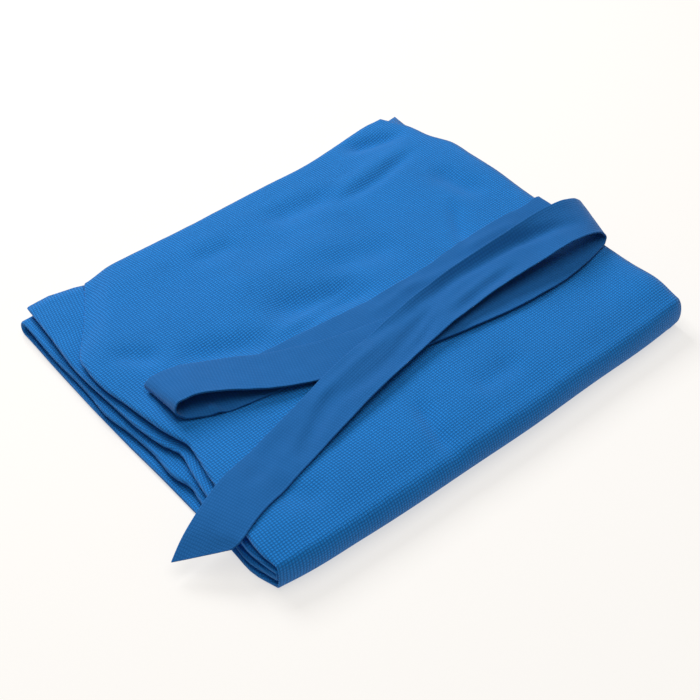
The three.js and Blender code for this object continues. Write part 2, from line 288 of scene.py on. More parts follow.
@dataclass(frozen=True)
class Crease:
    """A soft ridge along a line that fades at both ends, or a hollow where its height is negative."""

    line: tuple[Point, ...]
    width: float
    height: float
    fade_share: float = 0.35

    def lift(self, x: Array, y: Array) -> Array:
        """How far the crease lifts the cloth.

        Args:
            x: Places along one axis, in millimetres.
            y: Places along the other axis, in millimetres.

        Returns:
            The lift at each place, in millimetres.
        """
        points = np.array(self.line, float)
        lengths = np.linalg.norm(np.diff(points, axis=0), axis=1)
        starts = np.concatenate([[0], np.cumsum(lengths)])
        nearest = np.full(np.broadcast(x, y).shape, np.inf)
        share = np.zeros(nearest.shape)
        for (ax, ay), (bx, by), length, start in zip(points, points[1:], lengths, starts):
            dx, dy = bx - ax, by - ay
            t = np.clip(((x - ax) * dx + (y - ay) * dy) / length**2, 0.0, 1.0)
            away2 = (x - ax - t * dx) ** 2 + (y - ay - t * dy) ** 2
            closer = away2 < nearest
            nearest = np.where(closer, away2, nearest)
            share = np.where(closer, (start + t * length) / starts[-1], share)
        fade = ease(share / self.fade_share) * ease((1 - share) / self.fade_share)
        return self.height * fade * np.exp(-nearest / self.width**2)


@dataclass(frozen=True)
class Swell:
    """A broad round rise of the cloth about one place."""

    x: float
    y: float
    reach_x: float
    reach_y: float
    height: float

    def lift(self, x: Array, y: Array) -> Array:
        """How far the swell lifts the cloth at each x and y, in millimetres."""
        away_x, away_y = (x - self.x) / self.reach_x, (y - self.y) / self.reach_y
        return self.height * np.exp(-(away_x**2) - away_y**2)


# ------------------------------------------------------------------------------ where the cape lies

@dataclass(frozen=True)
class Stack:
    """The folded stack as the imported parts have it, in millimetres."""

    middle_x: float
    middle_y: float
    length: float
    depth: float
    opening_z: float

    @classmethod
    def from_frame(cls) -> "Stack":
        """Reads the stack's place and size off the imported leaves."""
        low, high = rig.box("panel_leaf_4")
        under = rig.box("panel_leaf_3")[1].z
        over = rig.box("panel_leaf_2")[0].z
        return cls(
            middle_x=(low.x + high.x) / 2 / MM,
            middle_y=(low.y + high.y) / 2 / MM,
            length=(high.x - low.x) / MM,
            depth=(high.y - low.y) / MM,
            opening_z=(under + over) / 2 / MM,
        )

    @property
    def spine_y(self) -> float:
        """Where the leaves turn into the spine folds."""
        return -self.depth / 2

    @property
    def back_y(self) -> float:
        """Where leaf 4 turns into leaf 3."""
        return self.depth / 2

    def box(self, node: str) -> tuple[float, float, float, float]:
        """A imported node's lowest x and y and highest x and y, in the stack's frame."""
        low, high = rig.box(node)
        x, y = self.middle_x, self.middle_y
        return low.x / MM - x, low.y / MM - y, high.x / MM - x, high.y / MM - y

    def place(self, points: Array) -> Array:
        """Points of the stack's frame as points of the parts' frame, in metres."""
        return (points + np.array([self.middle_x, self.middle_y, 0.0])) * MM

    def corner(self, x: float, y: float, z: float) -> Vector:
        """One point of the stack's frame in metres, in the parts' frame."""
        return Vector(self.place(np.array([x, y, z])))


# ------------------------------------------------------------------------------ finishes

class Weave(Enum):
    """How coarse a cloth's basket weave shows, as one cell's size across and along in millimetres."""

    PANEL = (2.1, 1.85)
    STRAP = (1.7, 2.1)


@dataclass(frozen=True)
class ClothFinish:
    """A woven cloth's look: its yarn colour, the painted shade in the holes of its weave, relief and sheen.

    The light colour is the yarns' own colour on their crowns, and the holes between the yarns take a painted shade.
    The relief is in metres.
    """

    name: str
    weave: Weave
    light: Colour = (0.007, 0.228, 0.70)
    # Painted shade in the holes between the yarns, where the weave's relief would cast it.
    hole_shade: Colour = (0.003, 0.035, 0.13)
    relief: float = 0.00034
    # How strongly the painted shade in the holes shows.
    hole_shade_contrast: float = 0.66
    hole_roughness: float = 0.92
    crown_roughness: float = 0.78
    specular: float = 0.18
    sheen: float = 0.24
    sheen_roughness: float = 0.45
    sheen_tint: Colour = (0.55, 0.62, 0.85)

    def material(self, groups: "ShaderGroups") -> bpy.types.Material:
        """Builds the material.

        Args:
            groups: The node groups that the materials share.

        Returns:
            A material that reads the piece's own UV map, which is in metres on the flat cloth.
        """
        made = bpy.data.materials.new(self.name)
        made.use_nodes = True
        tree = made.node_tree
        tree.nodes.clear()
        output = tree.nodes.new("ShaderNodeOutputMaterial")
        shader = tree.nodes.new("ShaderNodeBsdfPrincipled")
        tree.links.new(shader.outputs["BSDF"], output.inputs["Surface"])
        shader.inputs["Specular IOR Level"].default_value = self.specular
        shader.inputs["Sheen Weight"].default_value = self.sheen
        shader.inputs["Sheen Roughness"].default_value = self.sheen_roughness
        shader.inputs["Sheen Tint"].default_value = (*self.sheen_tint, 1.0)

        uv = tree.nodes.new("ShaderNodeUVMap")
        uv.uv_map = "flat"
        weave = tree.nodes.new("ShaderNodeGroup")
        weave.node_tree = groups.weave
        across, along = self.weave.value
        weave.inputs["Cells across"].default_value = 1.0 / (across * MM)
        weave.inputs["Cells along"].default_value = 1.0 / (along * MM)
        tree.links.new(uv.outputs["UV"], weave.inputs["Flat place"])
        mottle = tree.nodes.new("ShaderNodeGroup")
        mottle.node_tree = groups.mottle
        tree.links.new(uv.outputs["UV"], mottle.inputs["Flat place"])
        crown = weave.outputs["Crown"]

        colour = self._colour(tree, crown, mottle.outputs["Shade"])
        tree.links.new(colour, shader.inputs["Base Color"])
        softer = self.crown_roughness - self.hole_roughness
        rough = self._scaled(tree, crown, softer, self.hole_roughness)
        tree.links.new(rough, shader.inputs["Roughness"])
        bump = tree.nodes.new("ShaderNodeBump")
        bump.inputs["Distance"].default_value = self.relief
        tree.links.new(crown, bump.inputs["Height"])
        tree.links.new(bump.outputs["Normal"], shader.inputs["Normal"])
        return made

    def _colour(self, tree: bpy.types.NodeTree, crown: Socket, shade: Socket) -> Socket:
        """Mixes the yarn colour with painted shade in the holes of the weave, and shades them by the dye's unevenness.

        Args:
            tree: The material's nodes.
            crown: How high the yarn stands, from 0 to 1.
            shade: The dye's strength.

        Returns:
            The colour's socket.
        """
        # Painted shade: the yarn colour darkens towards the holes of the weave.
        yarns = tree.nodes.new("ShaderNodeMix")
        yarns.data_type = "RGBA"
        yarns.inputs["A"].default_value = (*self.hole_shade, 1.0)
        yarns.inputs["B"].default_value = (*self.light, 1.0)
        strength = self._scaled(tree, crown, self.hole_shade_contrast, 1.0 - self.hole_shade_contrast)
        tree.links.new(strength, yarns.inputs["Factor"])
        dyed = tree.nodes.new("ShaderNodeMix")
        dyed.data_type = "RGBA"
        dyed.blend_type = "MULTIPLY"
        dyed.inputs["Factor"].default_value = 1.0
        tree.links.new(yarns.outputs["Result"], dyed.inputs["A"])
        tree.links.new(shade, dyed.inputs["B"])
        return dyed.outputs["Result"]

    @staticmethod
    def _scaled(tree: bpy.types.NodeTree, value: Socket, factor: float, offset: float) -> Socket:
        """Adds a Math node that gives a value times a factor, plus an offset.

        Args:
            tree: The material's nodes.
            value: The socket to scale.
            factor: What it is multiplied by.
            offset: What is added.

        Returns:
            The node's output socket.
        """
        node = tree.nodes.new("ShaderNodeMath")
        node.operation = "MULTIPLY_ADD"
        node.inputs[1].default_value = factor
        node.inputs[2].default_value = offset
        tree.links.new(value, node.inputs[0])
        return node.outputs[0]


class GroupBuilder:
    """Builds one shader node group out of short calls."""

    def __init__(self, name: str, inputs: dict[str, str], outputs: dict[str, str]) -> None:
        """Makes the empty group.

        Args:
            name: The group's name.
            inputs: Each input socket's name and type.
            outputs: Each output socket's name and type.
        """
        self.tree = bpy.data.node_groups.new(name, "ShaderNodeTree")
        for socket, kind in inputs.items():
            self.tree.interface.new_socket(socket, in_out="INPUT", socket_type=kind)
        for socket, kind in outputs.items():
            self.tree.interface.new_socket(socket, in_out="OUTPUT", socket_type=kind)
        self.entry = self.tree.nodes.new("NodeGroupInput")
        self.exit = self.tree.nodes.new("NodeGroupOutput")

    def math(self, operation: str, *values: float | Socket) -> Socket:
        """Adds a Math node.

        Args:
            operation: The node's operation.
            values: A number or a socket for each input.

        Returns:
            The node's output socket.
        """
        node = self.tree.nodes.new("ShaderNodeMath")
        node.operation = operation
        for socket, value in zip(node.inputs, values):
            if isinstance(value, Socket):
                self.tree.links.new(value, socket)
            else:
                socket.default_value = value
        return node.outputs[0]

    def split(self, vector: Socket) -> tuple[Socket, Socket]:
        """Adds a Separate XYZ node.

        Args:
            vector: The vector to split.

        Returns:
            Its X and its Y.
        """
        node = self.tree.nodes.new("ShaderNodeSeparateXYZ")
        self.tree.links.new(vector, node.inputs[0])
        return node.outputs[0], node.outputs[1]

    def noise(self, vector: Socket, scale: float, detail: float) -> Socket:
        """Adds a Noise node.

        Args:
            vector: Where the noise is read.
            scale: Its cells to the metre.
            detail: How many finer layers it has.

        Returns:
            The noise, about 0.5 on average.
        """
        node = self.tree.nodes.new("ShaderNodeTexNoise")
        node.inputs["Scale"].default_value = scale
        node.inputs["Detail"].default_value = detail
        self.tree.links.new(vector, node.inputs["Vector"])
        return node.outputs[0]

    def put(self, socket: str, value: Socket) -> None:
        """Joins a value to one of the group's outputs."""
        self.tree.links.new(value, self.exit.inputs[socket])


class ShaderGroups:
    """The node groups that the cape's materials share."""

    def __init__(self) -> None:
        """Builds the two groups."""
        self.weave = self._weave()
        self.mottle = self._mottle()

    @staticmethod
    def _weave() -> bpy.types.NodeTree:
        """A basket weave of small domed cells, every other one turned, with two yarns in each.

        Returns:
            A group whose Crown is 1 on top of the yarns and 0 in the holes between the cells.
        """
        wander_scale, wander_cells = 90.0, 0.5
        dome_power, yarn_depth, turned_depth = 0.75, 0.16, 0.07
        g = GroupBuilder(
            "BasketWeave",
            {
                "Flat place": "NodeSocketVector",
                "Cells across": "NodeSocketFloat",
                "Cells along": "NodeSocketFloat",
            },
            {"Crown": "NodeSocketFloat"},
        )
        place = g.entry.outputs["Flat place"]
        wander = g.noise(place, wander_scale, 1.0)
        u, v = g.split(place)
        across, along = g.entry.outputs["Cells across"], g.entry.outputs["Cells along"]
        drift = g.math("MULTIPLY", g.math("SUBTRACT", wander, 0.5), wander_cells)
        cu = g.math("ADD", g.math("MULTIPLY", u, across), drift)
        cv = g.math("ADD", g.math("MULTIPLY", v, along), drift)
        su = g.math("ABSOLUTE", g.math("SINE", g.math("MULTIPLY", cu, math.pi)))
        sv = g.math("ABSOLUTE", g.math("SINE", g.math("MULTIPLY", cv, math.pi)))
        dome = g.math("POWER", g.math("MULTIPLY", su, sv), dome_power)
        odd = g.math("PINGPONG", g.math("ADD", g.math("FLOOR", cu), g.math("FLOOR", cv)), 1.0)
        yarn_u = g.math("ABSOLUTE", g.math("SINE", g.math("MULTIPLY", cu, 2 * math.pi)))
        yarn_v = g.math("ABSOLUTE", g.math("SINE", g.math("MULTIPLY", cv, 2 * math.pi)))
        even = g.math("SUBTRACT", 1.0, odd)
        yarn = g.math("ADD", g.math("MULTIPLY", yarn_u, odd), g.math("MULTIPLY", yarn_v, even))
        body = g.math("MULTIPLY_ADD", yarn, yarn_depth, 1.0 - yarn_depth)
        raised = g.math("MULTIPLY_ADD", odd, turned_depth, 1.0 - turned_depth)
        g.put("Crown", g.math("MULTIPLY", g.math("MULTIPLY", dome, body), raised))
        return g.tree

    @staticmethod
    def _mottle() -> bpy.types.NodeTree:
        """Broad, faint unevenness of the dye, with streaks along the yarns.

        Returns:
            A group whose Shade multiplies the cloth's colour.
        """
        broad_scale, broad_share, depth = 22.0, 0.7, 0.24
        g = GroupBuilder(
            "DyeMottle",
            {"Flat place": "NodeSocketVector"},
            {"Shade": "NodeSocketFloat"},
        )
        place = g.entry.outputs["Flat place"]
        stretch = g.tree.nodes.new("ShaderNodeMapping")
        stretch.inputs["Scale"].default_value = (40.0, 420.0, 1.0)
        g.tree.links.new(place, stretch.inputs["Vector"])
        broad = g.math("MULTIPLY", g.noise(place, broad_scale, 3.0), broad_share)
        streak = g.math("MULTIPLY", g.noise(stretch.outputs[0], 1.0, 2.0), 1.0 - broad_share)
        both = g.math("ADD", broad, streak)
        g.put("Shade", g.math("MULTIPLY_ADD", both, depth, 1.0 - depth / 2))
        return g.tree


# ------------------------------------------------------------------------------ sheets

def grid_mesh(name: str, columns: int, rows: int) -> tuple[bpy.types.Mesh, Array, Array]:
    """A flat grid to be moved into place.

    Args:
        name: The mesh's name.
        columns: Points across.
        rows: Points along.

    Returns:
        The mesh, and each vertex's column and row.
    """
    bm = bmesh.new()
    bmesh.ops.create_grid(bm, x_segments=columns - 1, y_segments=rows - 1, size=1.0)
    mesh = bpy.data.meshes.new(name)
    bm.to_mesh(mesh)
    bm.free()
    flat = np.zeros(len(mesh.vertices) * 3, np.float32)
    mesh.vertices.foreach_get("co", flat)
    flat = flat.reshape(-1, 3)
    column = np.rint((flat[:, 0] + 1) / 2 * (columns - 1)).astype(int)
    row = np.rint((flat[:, 1] + 1) / 2 * (rows - 1)).astype(int)
    return mesh, column, row


def set_places(mesh: bpy.types.Mesh, places: Array) -> None:
    """Moves a mesh's vertices to places, in metres."""
    mesh.vertices.foreach_set("co", places.astype(np.float32).ravel())
    mesh.update()


def set_flat_map(mesh: bpy.types.Mesh, flat: Array) -> None:
    """Gives a mesh the UV map that the cloth materials read.

    Args:
        mesh: The mesh.
        flat: Each vertex's place on the flat cloth, in metres.
    """
    layer = mesh.uv_layers.new(name="flat")
    corner = np.zeros(len(mesh.loops), np.int32)
    mesh.loops.foreach_get("vertex_index", corner)
    layer.data.foreach_set("uv", flat[corner].astype(np.float32).ravel())


def add_object(mesh: bpy.types.Mesh, material: bpy.types.Material) -> bpy.types.Object:
    """Makes a smooth-shaded object of a finished mesh.

    Args:
        mesh: The mesh, with its place in its points.
        material: Its one material.

    Returns:
        The object, in the scene and at the origin.
    """
    mesh.polygons.foreach_set("use_smooth", np.ones(len(mesh.polygons), bool))
    mesh.materials.append(material)
    made = bpy.data.objects.new(mesh.name, mesh)
    bpy.context.scene.collection.objects.link(made)
    return made


def thicken(piece: bpy.types.Object, thickness: float, thin: Array | None = None) -> None:
    """Gives a sheet its thickness, evenly to both sides.

    Args:
        piece: The sheet.
        thickness: In millimetres.
        thin: The share of the thickness at each vertex, or None where it is the same all over.
    """
    wall = piece.modifiers.new("cloth_thickness", "SOLIDIFY")
    wall.thickness = thickness * MM
    wall.offset = 0.0
    wall.use_rim = True
    if thin is not None:
        share = piece.vertex_groups.new(name="thickness")
        for level in np.unique(thin):
            share.add(np.nonzero(thin == level)[0].tolist(), float(level), "REPLACE")
        wall.vertex_group = share.name


@dataclass(frozen=True)
class Leaf:
    """One leaf of the stack.

    Its two plies lie at the heights low and high, between the outlines left and right. They close
    to the fold's height and half thickness at the left, and to the hems' height at the right.
    """

    low: float
    high: float
    left: Curve
    right: Curve
    fold_z: float
    fold_half: float
    hem_z: float

    @property
    def middle(self) -> float:
        """The height half way between the two plies."""
        return (self.low + self.high) / 2

    @property
    def half(self) -> float:
        """Half the distance between the two plies."""
        return (self.high - self.low) / 2


@dataclass
class CapePanel:
    """The cape's one panel, folded in two at the left and then in four leaves.

    A row of the grid runs from the side hem of the outer ply, round the left fold, to the side hem
    of the inner ply. The rows run from the bottom hem, which is leaf 1's back edge, forward over
    leaf 1, round the spine, back under leaf 4, round the back fold, over leaf 3 to the spine again,
    and back along leaf 2 to the neck edge.

    The columns and rows say how fine the grid is. A half is half a thickness, a reach is the length
    over which a change comes in, and droops are how far the top sinks at its front and back edges.
    """

    stack: Stack
    finish: ClothFinish
    outer_columns: int = 106
    fold_columns: int = 9
    inner_columns: int = 32
    top_rows: int = 92
    leaf_rows: int = 46
    roll_rows: int = 8
    hinge_rows: int = 9
    back_fold_rows: int = 10
    hinge_half: float = 0.15
    cloth: float = 0.5
    hem_cloth: float = 1.15
    hem_width: float = 10.0
    roll_power: float = 0.86
    fold_bulge: float = 2.0
    fold_reach: float = 26.0
    hem_reach: float = 13.0
    hem_half: float = 0.95
    neck_half: float = 1.35
    gather_height: float = 0.35
    gather_size: float = 2.4
    back_droop: float = 2.0
    front_droop: float = 2.6
    droop_start: float = 26.0
    droop_reach: float = 30.0
    calm_share: float = 0.3
    calm_reach: float = 20.0
    soft_height: float = 9.0
    corner_y: float = 66.0
    corner_reach: float = 30.0
    corner_z: float = 20.6
    corner_half: float = 0.5
    apart_y: float = 84.0
    apart_reach: float = 52.0
    apart_half: float = 0.85
    neck_y: float = 100.0
    neck_reach: float = 12.0
    neckband_left: float = -122.0
    neckband_right: float = 136.0
    neckband_fade: float = 10.0
    outer_back_bulge: float = 5.6
    inner_back_bulge: float = 2.0
    spine_shares: tuple[float, ...] = (1.0, 0.7, 0.43, 0.14)
    table_z: float = 0.42
    least_gap: float = 0.8
    spine_reach: float = 20.0
    hem_line: float = 184.0
    flat_size: Point = (0.716, 1.17)
    leaves: dict[int, Leaf] = field(default_factory=dict)
    swells: list[Swell] = field(default_factory=list)
    creases: list[Crease] = field(default_factory=list)

    def __post_init__(self) -> None:
        """Sets the outlines of the leaves, and the swells and creases of the top one."""
        self.leaves = {
            4: Leaf(
                low=0.45, high=5.0, fold_z=2.1, fold_half=1.55, hem_z=1.6,
                left=outline((-141, -176), (-126, -180), (-103, -179.5), (-63, -178.5),
                             (45, -177.5), (95, -175.5), (141, -173)),
                right=outline((-141, 177), (60, 180), (120, 181), (150, 183)),
            ),
            3: Leaf(
                low=6.9, high=11.5, fold_z=8.3, fold_half=1.5, hem_z=8.832,
                left=outline((-141, -176), (-120, -180), (-100, -178), (-64, -174), (-50, -171.5),
                             (-39, -174.5), (-13, -173), (11, -174), (36, -177), (55, -175),
                             (106, -174), (141, -172)),
                right=outline((-141, 177), (60, 179), (120, 181), (150, 183)),
            ),
            2: Leaf(
                low=13.0, high=17.6, fold_z=15.3, fold_half=1.5, hem_z=14.932,
                left=outline((-141, -176), (-120, -178.5), (-103, -176), (-64, -170), (-51, -167),
                             (-35, -163.5), (-23, -167.5), (-8, -170), (27, -172), (72, -172),
                             (100, -168.5), (138, -164), (154, -162)),
                right=outline((-141, 176), (60, 177), (125, 178), (150, 181.5)),
            ),
            1: Leaf(
                low=21.0, high=26.0, fold_z=22.9, fold_half=1.9, hem_z=23.9,
                left=outline((-141, -175.5), (-130, -177), (-111, -175), (-88, -169.5),
                             (-59, -164), (-42, -160), (-31, -158.5), (-24, -160.5),
                             (-13, -163.5), (4, -166), (23, -168), (47, -171), (64, -170),
                             (76, -167.5), (84, -162), (95, -153), (121, -134), (139, -122)),
                right=outline((-141, 177), (0, 180), (60, 180.5), (80, 179.5), (93, 174),
                              (123, 168), (141, 160), (150, 157)),
            ),
        }
        self.swells = [
            Swell(165, 60, 42, 55, 2.4),
            Swell(165, -100, 30, 30, 1.0),
            Swell(180, -122, 26, 18, 2.4),
        ]
        self.creases = [
            Crease(((-58, 30), (-14, 17), (32, 1)), 13, -5.4),
            Crease(((-70, 62), (60, 60)), 17, 2.4),
            Crease(((-128, 34), (-90, 18), (-54, 2)), 11, -4.0),
            Crease(((-156, 66), (-124, 36)), 8, -2.6),
            Crease(((2, 106), (82, 97)), 10, -3.2),
            Crease(((56, 87), (108, 90), (164, 101)), 5, -2.6),
            Crease(((62, 97), (158, 109)), 8, 1.8),
            Crease(((106, 136), (166, 120)), 7, -4.8),
            Crease(((-63, 104), (-12, 99)), 8, -2.0),
            Crease(((143, 76), (154, 20)), 9, -3.2),
            Crease(((132, 38), (101, -10)), 4.5, -1.8),
            Crease(((0, 40), (76, 24)), 12, -2.6),
            Crease(((-24, -94), (-34, -124), (-41, -150)), 6, -3.2),
            Crease(((2, -119), (58, -112)), 9, -2.2),
            Crease(((-150, -96), (-116, -128)), 10, -2.0),
            Crease(((-72, 4), (-20, 12), (40, 9)), 3.2, 1.0),
            Crease(((-64, -3), (-10, 3), (34, 0)), 3.0, -1.0),
        ]

    def top_height(self, x: Array, y: Array) -> Array:
        """The height of the top leaf's upper ply, before it turns down at its edges.

        Args:
            x: Places along the stack.
            y: Places from the spine to the back.

        Returns:
            The height at each place.
        """
        s = self.stack
        height = np.full(np.broadcast(x, y).shape, self.leaves[1].high)
        for shape in (*self.swells, *self.creases):
            height = height + shape.lift(x, y)
        near_back = ease((y - s.back_y + self.droop_start) / self.droop_reach)
        near_front = ease((s.spine_y + self.droop_start - y) / self.droop_reach)
        height = height - self.back_droop * near_back - self.front_droop * near_front**1.5
        calmer = mix(self.calm_share, 1.0, ease((s.back_y - y) / self.calm_reach))
        return height + 0.32 * calmer * ripple(x, y, size=52, seed=4) + 0.06 * ripple(x, y, size=15, seed=9)

    def lifted(self, x: Array, y: Array, z: Array) -> Array:
        """Moves a height of the upper half with the swells and hollows of the top leaf.

        Args:
            x: Places along the stack.
            y: Places from the spine to the back.
            z: Heights above the opening plane, as they would be under a flat top leaf.

        Returns:
            The heights as the soft stack has them.
        """
        opening = self.stack.opening_z
        share = (self.top_height(x, y) - opening) / (self.leaves[1].high - opening)
        softened = mix(1.0, share, ease((z - opening) / self.soft_height))
        return opening + (z - opening) * softened

    def in_neckband(self, x: Array) -> Array:
        """1 along the neckband and 0 past its ends."""
        from_left, to_right = x - self.neckband_left, self.neckband_right - x
        return ease(from_left / self.neckband_fade) * ease(to_right / self.neckband_fade)

    def fold_shape(self, number: int, y: Array) -> tuple[Array, Array]:
        """How a leaf's left fold lies.

        Leaf 1's fold thins into the slanted back corner, and leaves 3 and 4 part towards the back.

        Args:
            number: Which leaf.
            y: Places from the spine to the back.

        Returns:
            The fold's height, and half its thickness.
        """
        leaf = self.leaves[number]
        z = leaf.fold_z + 0.25 * ripple(y, y * 0, size=60, seed=30 + number)
        half = leaf.fold_half + 0.35 * ripple(y, y * 0, size=42, seed=20 + number)
        if number == 1:
            slant = ease((y - self.corner_y) / self.corner_reach)
            return mix(z, self.corner_z, slant), mix(half, self.corner_half, slant)
        if number == 2:
            return z, half
        apart = ease((y - self.apart_y) / self.apart_reach)
        rise = 1.6 if number == 3 else -0.6
        return z + apart * rise, mix(half, self.apart_half, apart)

    def neck_leaf(self, x: Array, y: Array) -> tuple[Array, Array, Array]:
        """Leaf 2's plies: gathered at the back, thin inside the neckband and full at the left.

        Args:
            x: Places along the stack.
            y: Places from the spine to the back.

        Returns:
            The height half way between the plies, half their distance, and the rise of the fold.
        """
        leaf = self.leaves[2]
        neck = ease((y - self.neck_y) / self.neck_reach) * self.in_neckband(x)
        gathers = self.gather_height * ease((y - 40) / 60) * (1 - neck) * np.sin(x / self.gather_size)
        corner = self.leaves[1].left(y)
        at_back = ease((y - 60) / 40)
        under = at_back * ease((corner + 16 - x) / 20)
        beyond = at_back * ease((corner - 1 - x) / 9)
        swell = 0.8 * under + 0.65 * beyond
        return leaf.middle + gathers + swell, mix(leaf.half, self.neck_half, neck) + swell, 1.3 * beyond

    def ply_heights(self, number: int, x: Array, y: Array) -> tuple[Array, Array]:
        """The heights of a leaf's lower and upper ply.

        Args:
            number: Which leaf, from 4 at the bottom to 1 on top.
            x: Places along the stack.
            y: Places from the spine to the back.

        Returns:
            The lower ply's height and the upper ply's height.
        """
        leaf = self.leaves[number]
        near_fold = 1 - ease((x - leaf.left(y)) / self.fold_reach)
        near_hem = 1 - ease((leaf.right(y) - x) / self.hem_reach)
        off_spine = ease((y - self.stack.spine_y) / self.spine_reach)
        opening = self.stack.opening_z
        middle, half = leaf.middle, leaf.half
        fold_z, fold_half = self.fold_shape(number, y)
        if number == 2:
            middle, half, rise = self.neck_leaf(x, y)
            fold_z = fold_z + rise
        middle = mix(middle, fold_z, near_fold**1.5)
        half = mix(half, fold_half, near_fold)
        hem_half = self.hem_half + 0.3 * ripple(y, y * 0, size=70, seed=40 + number)
        middle = mix(middle, leaf.hem_z, near_hem**1.6)
        half = mix(half, hem_half, near_hem**1.3)
        low, high = middle - half, middle + half
        if number == 4:
            low = np.maximum(low, self.table_z)
            return low, np.maximum(high, low + self.least_gap)
        if number == 3:
            settle = 0.18 * ripple(x, y, size=60, seed=8)
            high = np.minimum(high + settle, opening - 0.5)
            return low + settle, mix(opening - 0.65, high, off_spine)
        if number == 2:
            low = mix(opening + 0.7, np.maximum(low, opening + 0.62), off_spine)
        return self.lifted(x, y, low), self.lifted(x, y, high)

    def back_edge(self, number: int, x: Array) -> Array:
        """Where a leaf's back edge or back fold starts.

        Args:
            number: Which leaf.
            x: Places along the stack.

        Returns:
            The edge's y at each x.
        """
        if number == 1:
            return 139 + 9 * ease((x - 60) / 95) + 0.5 * np.sin(x / 21)
        if number == 2:
            corner = 8 * ease((-118 - x) / 40)
            return mix(139.5, 133.5, self.in_neckband(x)) + corner + 12 * ease((x - 140) / 38)
        return 141 + 6 * ease((x - 130) / 50) + 0.4 * np.sin(x / 25 + 1)

    def roll_depth(self, x: Array) -> Array:
        """How far the outermost ply of the spine bulges in front of the leaves, at each x."""
        swell = outline((-180, 2.4), (-174, 3.4), (-165, 5.8), (-150, 8.2), (-118, 9.9), (-70, 11.2),
                        (46, 11.3), (94, 10.0), (150, 8.4), (168, 7.0), (180, 5.2))
        return swell(x) + 0.25 * np.sin(x / 17)

    def across(self, left: float, right: float, bulge: float) -> tuple[Array, Array]:
        """The columns of a row, closer together near the fold on the outer ply.

        Args:
            left: How far the left fold reaches.
            right: Where the side hem is.
            bulge: How far the fold rounds out past its plies' ends.

        Returns:
            The outer ply's x places from the hem to the fold, and the inner ply's back to the hem.
        """
        t = np.linspace(0, 1, self.outer_columns)
        outer = mix(right, left + bulge, 1 - (1 - t) ** 1.22)
        t = np.linspace(0, 1, self.inner_columns)
        return outer, mix(left + bulge, right, t**1.15)

    def row(self, outer: Array, inner: Array, bulge: float) -> Array:
        """Joins an outer and an inner ply by the round left fold.

        Args:
            outer: The outer ply's points, from the hem to the fold.
            inner: The inner ply's points, from the fold to the hem.
            bulge: How far the fold rounds out past its plies' ends.

        Returns:
            The row's points in order.
        """
        start, end = outer[-1], inner[0]
        angle = np.linspace(0, math.pi, self.fold_columns + 2)[1:-1, None]
        fold = (start + end) / 2 + (start - end) / 2 * np.cos(angle)
        fold[:, 0] -= bulge * np.sin(angle[:, 0])
        return np.vstack([outer, fold, inner])

    def leaf_row(self, number: int, share: float) -> Array:
        """One row of a leaf.

        Args:
            number: Which leaf.
            share: How far the row is from the spine to the leaf's back edge, from 0 to 1.

        Returns:
            The row's points in order.
        """
        leaf, spine = self.leaves[number], self.stack.spine_y
        y = mix(spine, self.back_edge(number, 0.0), share)
        bulge = leaf.fold_half * 1.25
        outer_x, inner_x = self.across(float(leaf.left(y)), float(leaf.right(y)), bulge)
        outer_is_high = number in (1, 3)
        plies = []
        for x, high in ((outer_x, outer_is_high), (inner_x, not outer_is_high)):
            ys = mix(spine, self.back_edge(number, x), share)
            low_z, high_z = self.ply_heights(number, x, ys)
            plies.append(np.column_stack([x, ys, high_z if high else low_z]))
        return self.row(plies[0], plies[1], bulge)

    def turn_rows(self, first: int, last: int, at_back: bool, outer: Depth, inner: Depth,
                  angles: Array, strips: Array) -> list[Array]:
        """The rows of a fold in which one leaf turns into another.

        Args:
            first: The leaf that the fold starts from.
            last: The leaf that it turns into.
            at_back: Whether it is at the back edge, and not at the spine.
            outer: How far the outer ply bulges, as a function of x.
            inner: How far the inner ply bulges, as a function of x.
            angles: Each row's angle, from 0 at the first leaf to pi at the last.
            strips: The height above the opening plane of each row where the cape opens, and not a
                number for the other rows.

        Returns:
            The rows in order.
        """
        side = 1 if at_back else -1
        edge_y = self.stack.back_y if at_back else self.stack.spine_y
        start, end = self.leaves[first], self.leaves[last]
        opening = self.stack.opening_z
        starts_high = first in (1, 3)
        rows = []
        for angle, strip in zip(angles, strips):
            turned = angle / math.pi
            reach = math.cos(angle)
            out = abs(math.sin(angle)) ** self.roll_power
            left = mix(float(start.left(edge_y)), float(end.left(edge_y)), turned)
            right = mix(float(start.right(edge_y)), float(end.right(edge_y)), turned)
            outer_x, inner_x = self.across(left, right, self.fold_bulge)
            plies = []
            for x, depth, high in ((outer_x, outer, starts_high), (inner_x, inner, not starts_high)):
                base = self.back_edge(first, x) if at_back else np.full(len(x), edge_y)
                start_z = self.ply_heights(first, x, base)[int(high)]
                end_z = self.ply_heights(last, x, base)[int(not high)]
                if math.isnan(strip):
                    middle = (start_z + end_z) / 2 if at_back else opening
                    z = middle + ((start_z if reach >= 0 else end_z) - middle) * abs(reach)
                else:
                    z = np.full(len(x), opening + strip)
                plies.append(np.column_stack([x, base + side * depth(x) * out, z]))
            rows.append(self.row(plies[0], plies[1], self.fold_bulge))
        return rows

    def spine_angles(self, falling: bool) -> tuple[Array, Array]:
        """How the rows of a spine fold turn, with close rows where the cape opens.

        Args:
            falling: Whether the rows run from the upper half to the lower.

        Returns:
            Each row's angle, and its strip, as turn_rows takes them.
        """
        step = np.linspace(0, math.pi / 2, self.roll_rows + 2)[1:-1]
        quarter = np.full(self.hinge_rows, math.pi / 2)
        angles = np.concatenate([step, quarter, math.pi - step[::-1]])
        strip = np.linspace(1, -1, self.hinge_rows) * self.hinge_half * (1 if falling else -1)
        none = np.full(self.roll_rows, np.nan)
        return angles, np.concatenate([none, strip, none])

    def spine_depth(self, share: float) -> Depth:
        """How far a ply of the spine bulges, as a share of the outermost one."""
        return lambda x: self.roll_depth(x) * share

